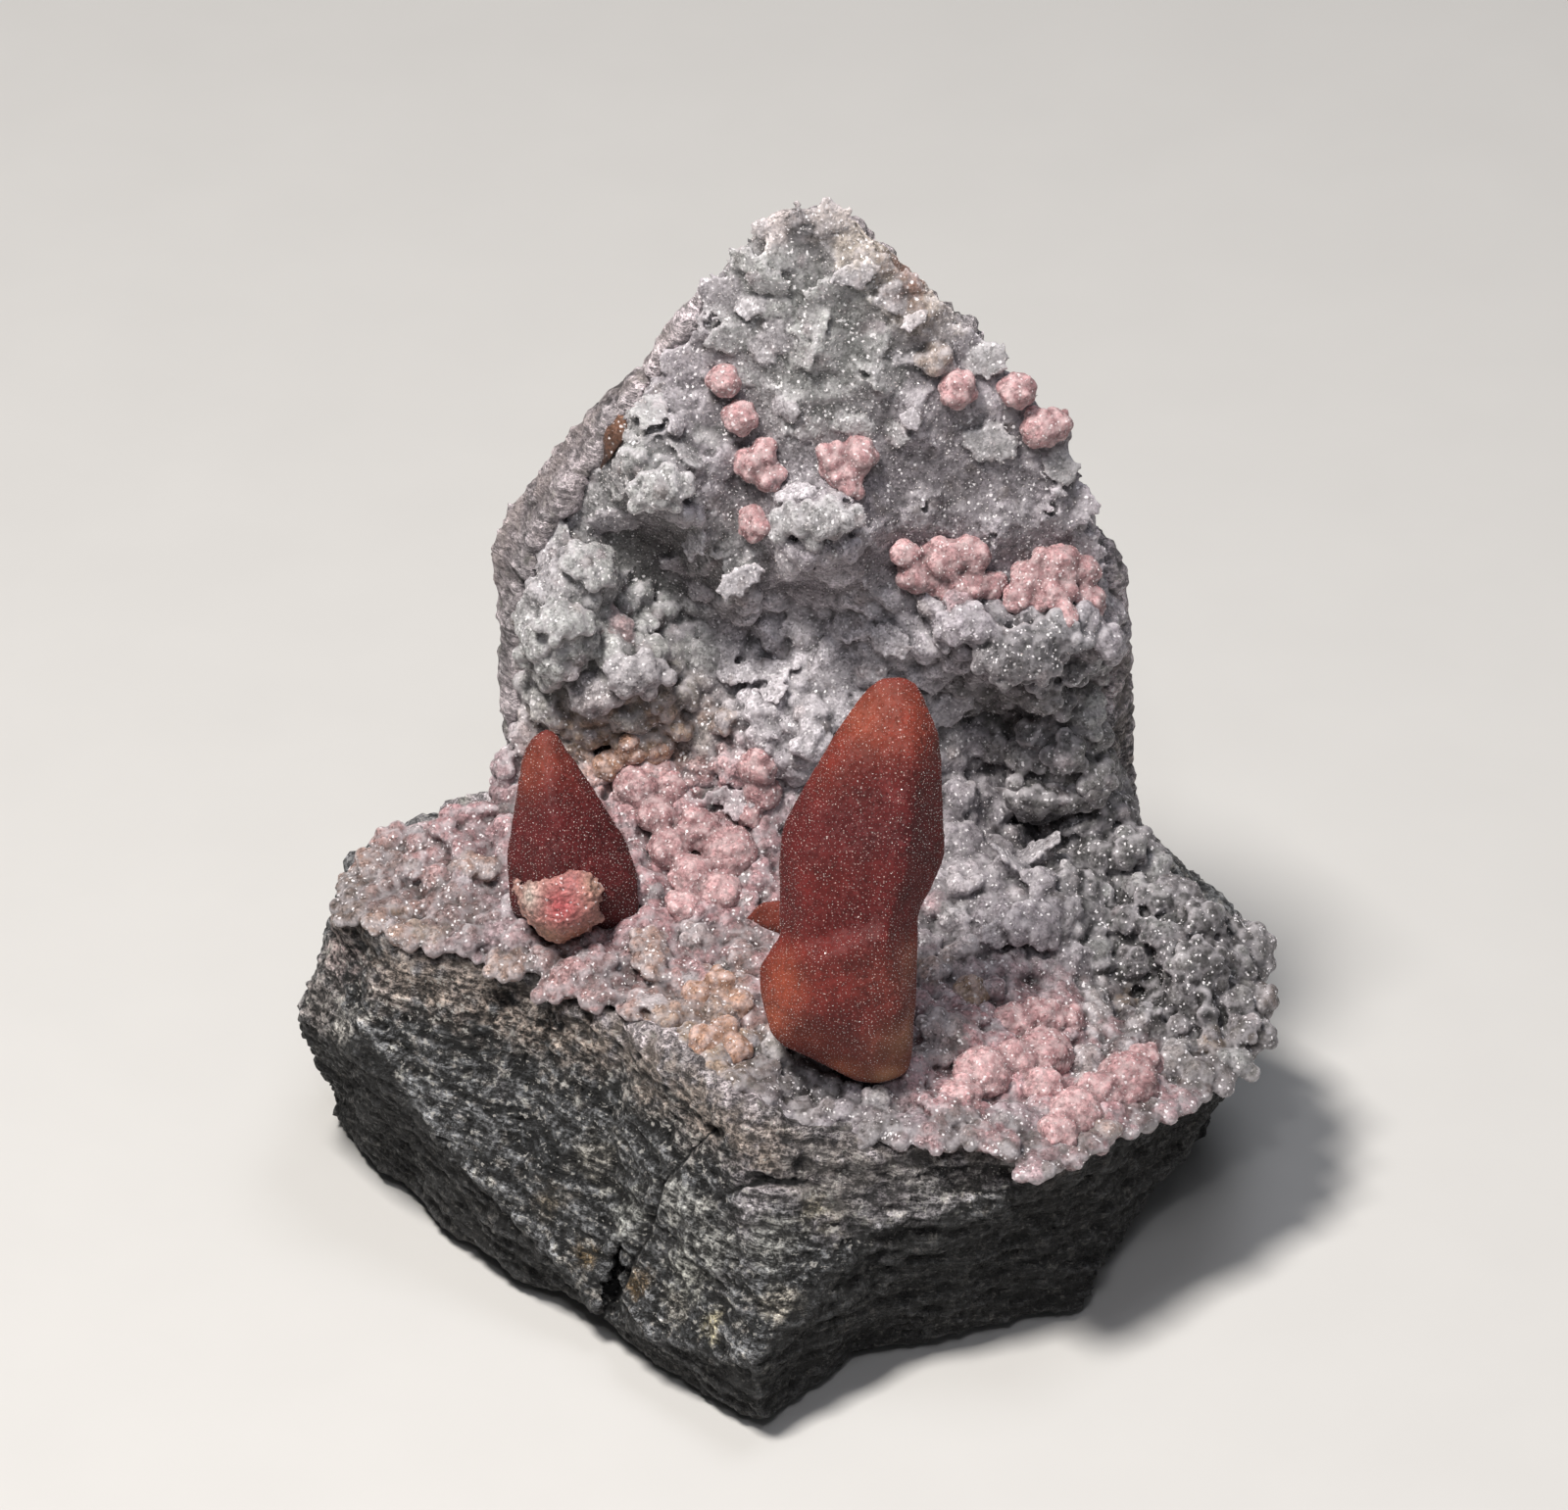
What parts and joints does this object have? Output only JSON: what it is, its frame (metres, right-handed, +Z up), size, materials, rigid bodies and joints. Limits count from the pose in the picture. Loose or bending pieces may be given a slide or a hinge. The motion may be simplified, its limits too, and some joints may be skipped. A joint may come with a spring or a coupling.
{
  "type": "mineral specimen",
  "caption": "Mineral specimen: broken host rock with an open hollow lined by knobbly drusy quartz, carrying frosted red rhodochrosite crystals and pink rhodochrosite balls",
  "frame": {"origin": "a point on the flat broken face underneath, on which the specimen rests", "axes": "+Z up from the resting face; the open hollow looks towards -Y and up; +X to the right as seen from the open side"},
  "size_m": [0.0701, 0.0572, 0.0752],
  "materials": {
    "dark_rock": "rough broken",
    "drusy_quartz": "rough sparkling",
    "red_rhodochrosite": "frosted",
    "cleaved_rhodochrosite": "rough",
    "brown_crystal": "satin",
    "pink_rhodochrosite": "rough sparkling",
    "tan_rhodochrosite": "rough",
    "orange_rhodochrosite": "rough"
  },
  "bodies": {
    "root": {"host_rock": "dark_rock", "quartz_crust": "drusy_quartz", "tall_rhodochrosite_crystal": "red_rhodochrosite", "short_rhodochrosite_crystal": "red_rhodochrosite", "broken_crystal_stub": "cleaved_rhodochrosite", "brown_edge_crystal": "brown_crystal", "pink_ball_upper_left": "pink_rhodochrosite", "pink_ball_mid_left": "pink_rhodochrosite", "pink_pair_left": "pink_rhodochrosite", "pink_ball_lower_left": "pink_rhodochrosite", "pink_ball_upper_right": "pink_rhodochrosite", "pink_ball_right_edge": "pink_rhodochrosite", "pink_block_right_edge": "pink_rhodochrosite", "pink_branch_middle": "pink_rhodochrosite", "pink_cluster_ledge_left": "pink_rhodochrosite", "pink_cluster_ledge_right": "pink_rhodochrosite", "pink_mass_behind_short_crystal": "pink_rhodochrosite", "pink_knob_centre": "pink_rhodochrosite", "pink_mass_floor_right": "pink_rhodochrosite", "pink_mass_front_right": "pink_rhodochrosite", "tan_ball_by_tall_crystal": "tan_rhodochrosite", "orange_knob_by_tall_crystal": "orange_rhodochrosite", "orange_knob_front": "orange_rhodochrosite", "orange_knob_behind_short_crystal": "orange_rhodochrosite"}
  },
  "joints": []
}
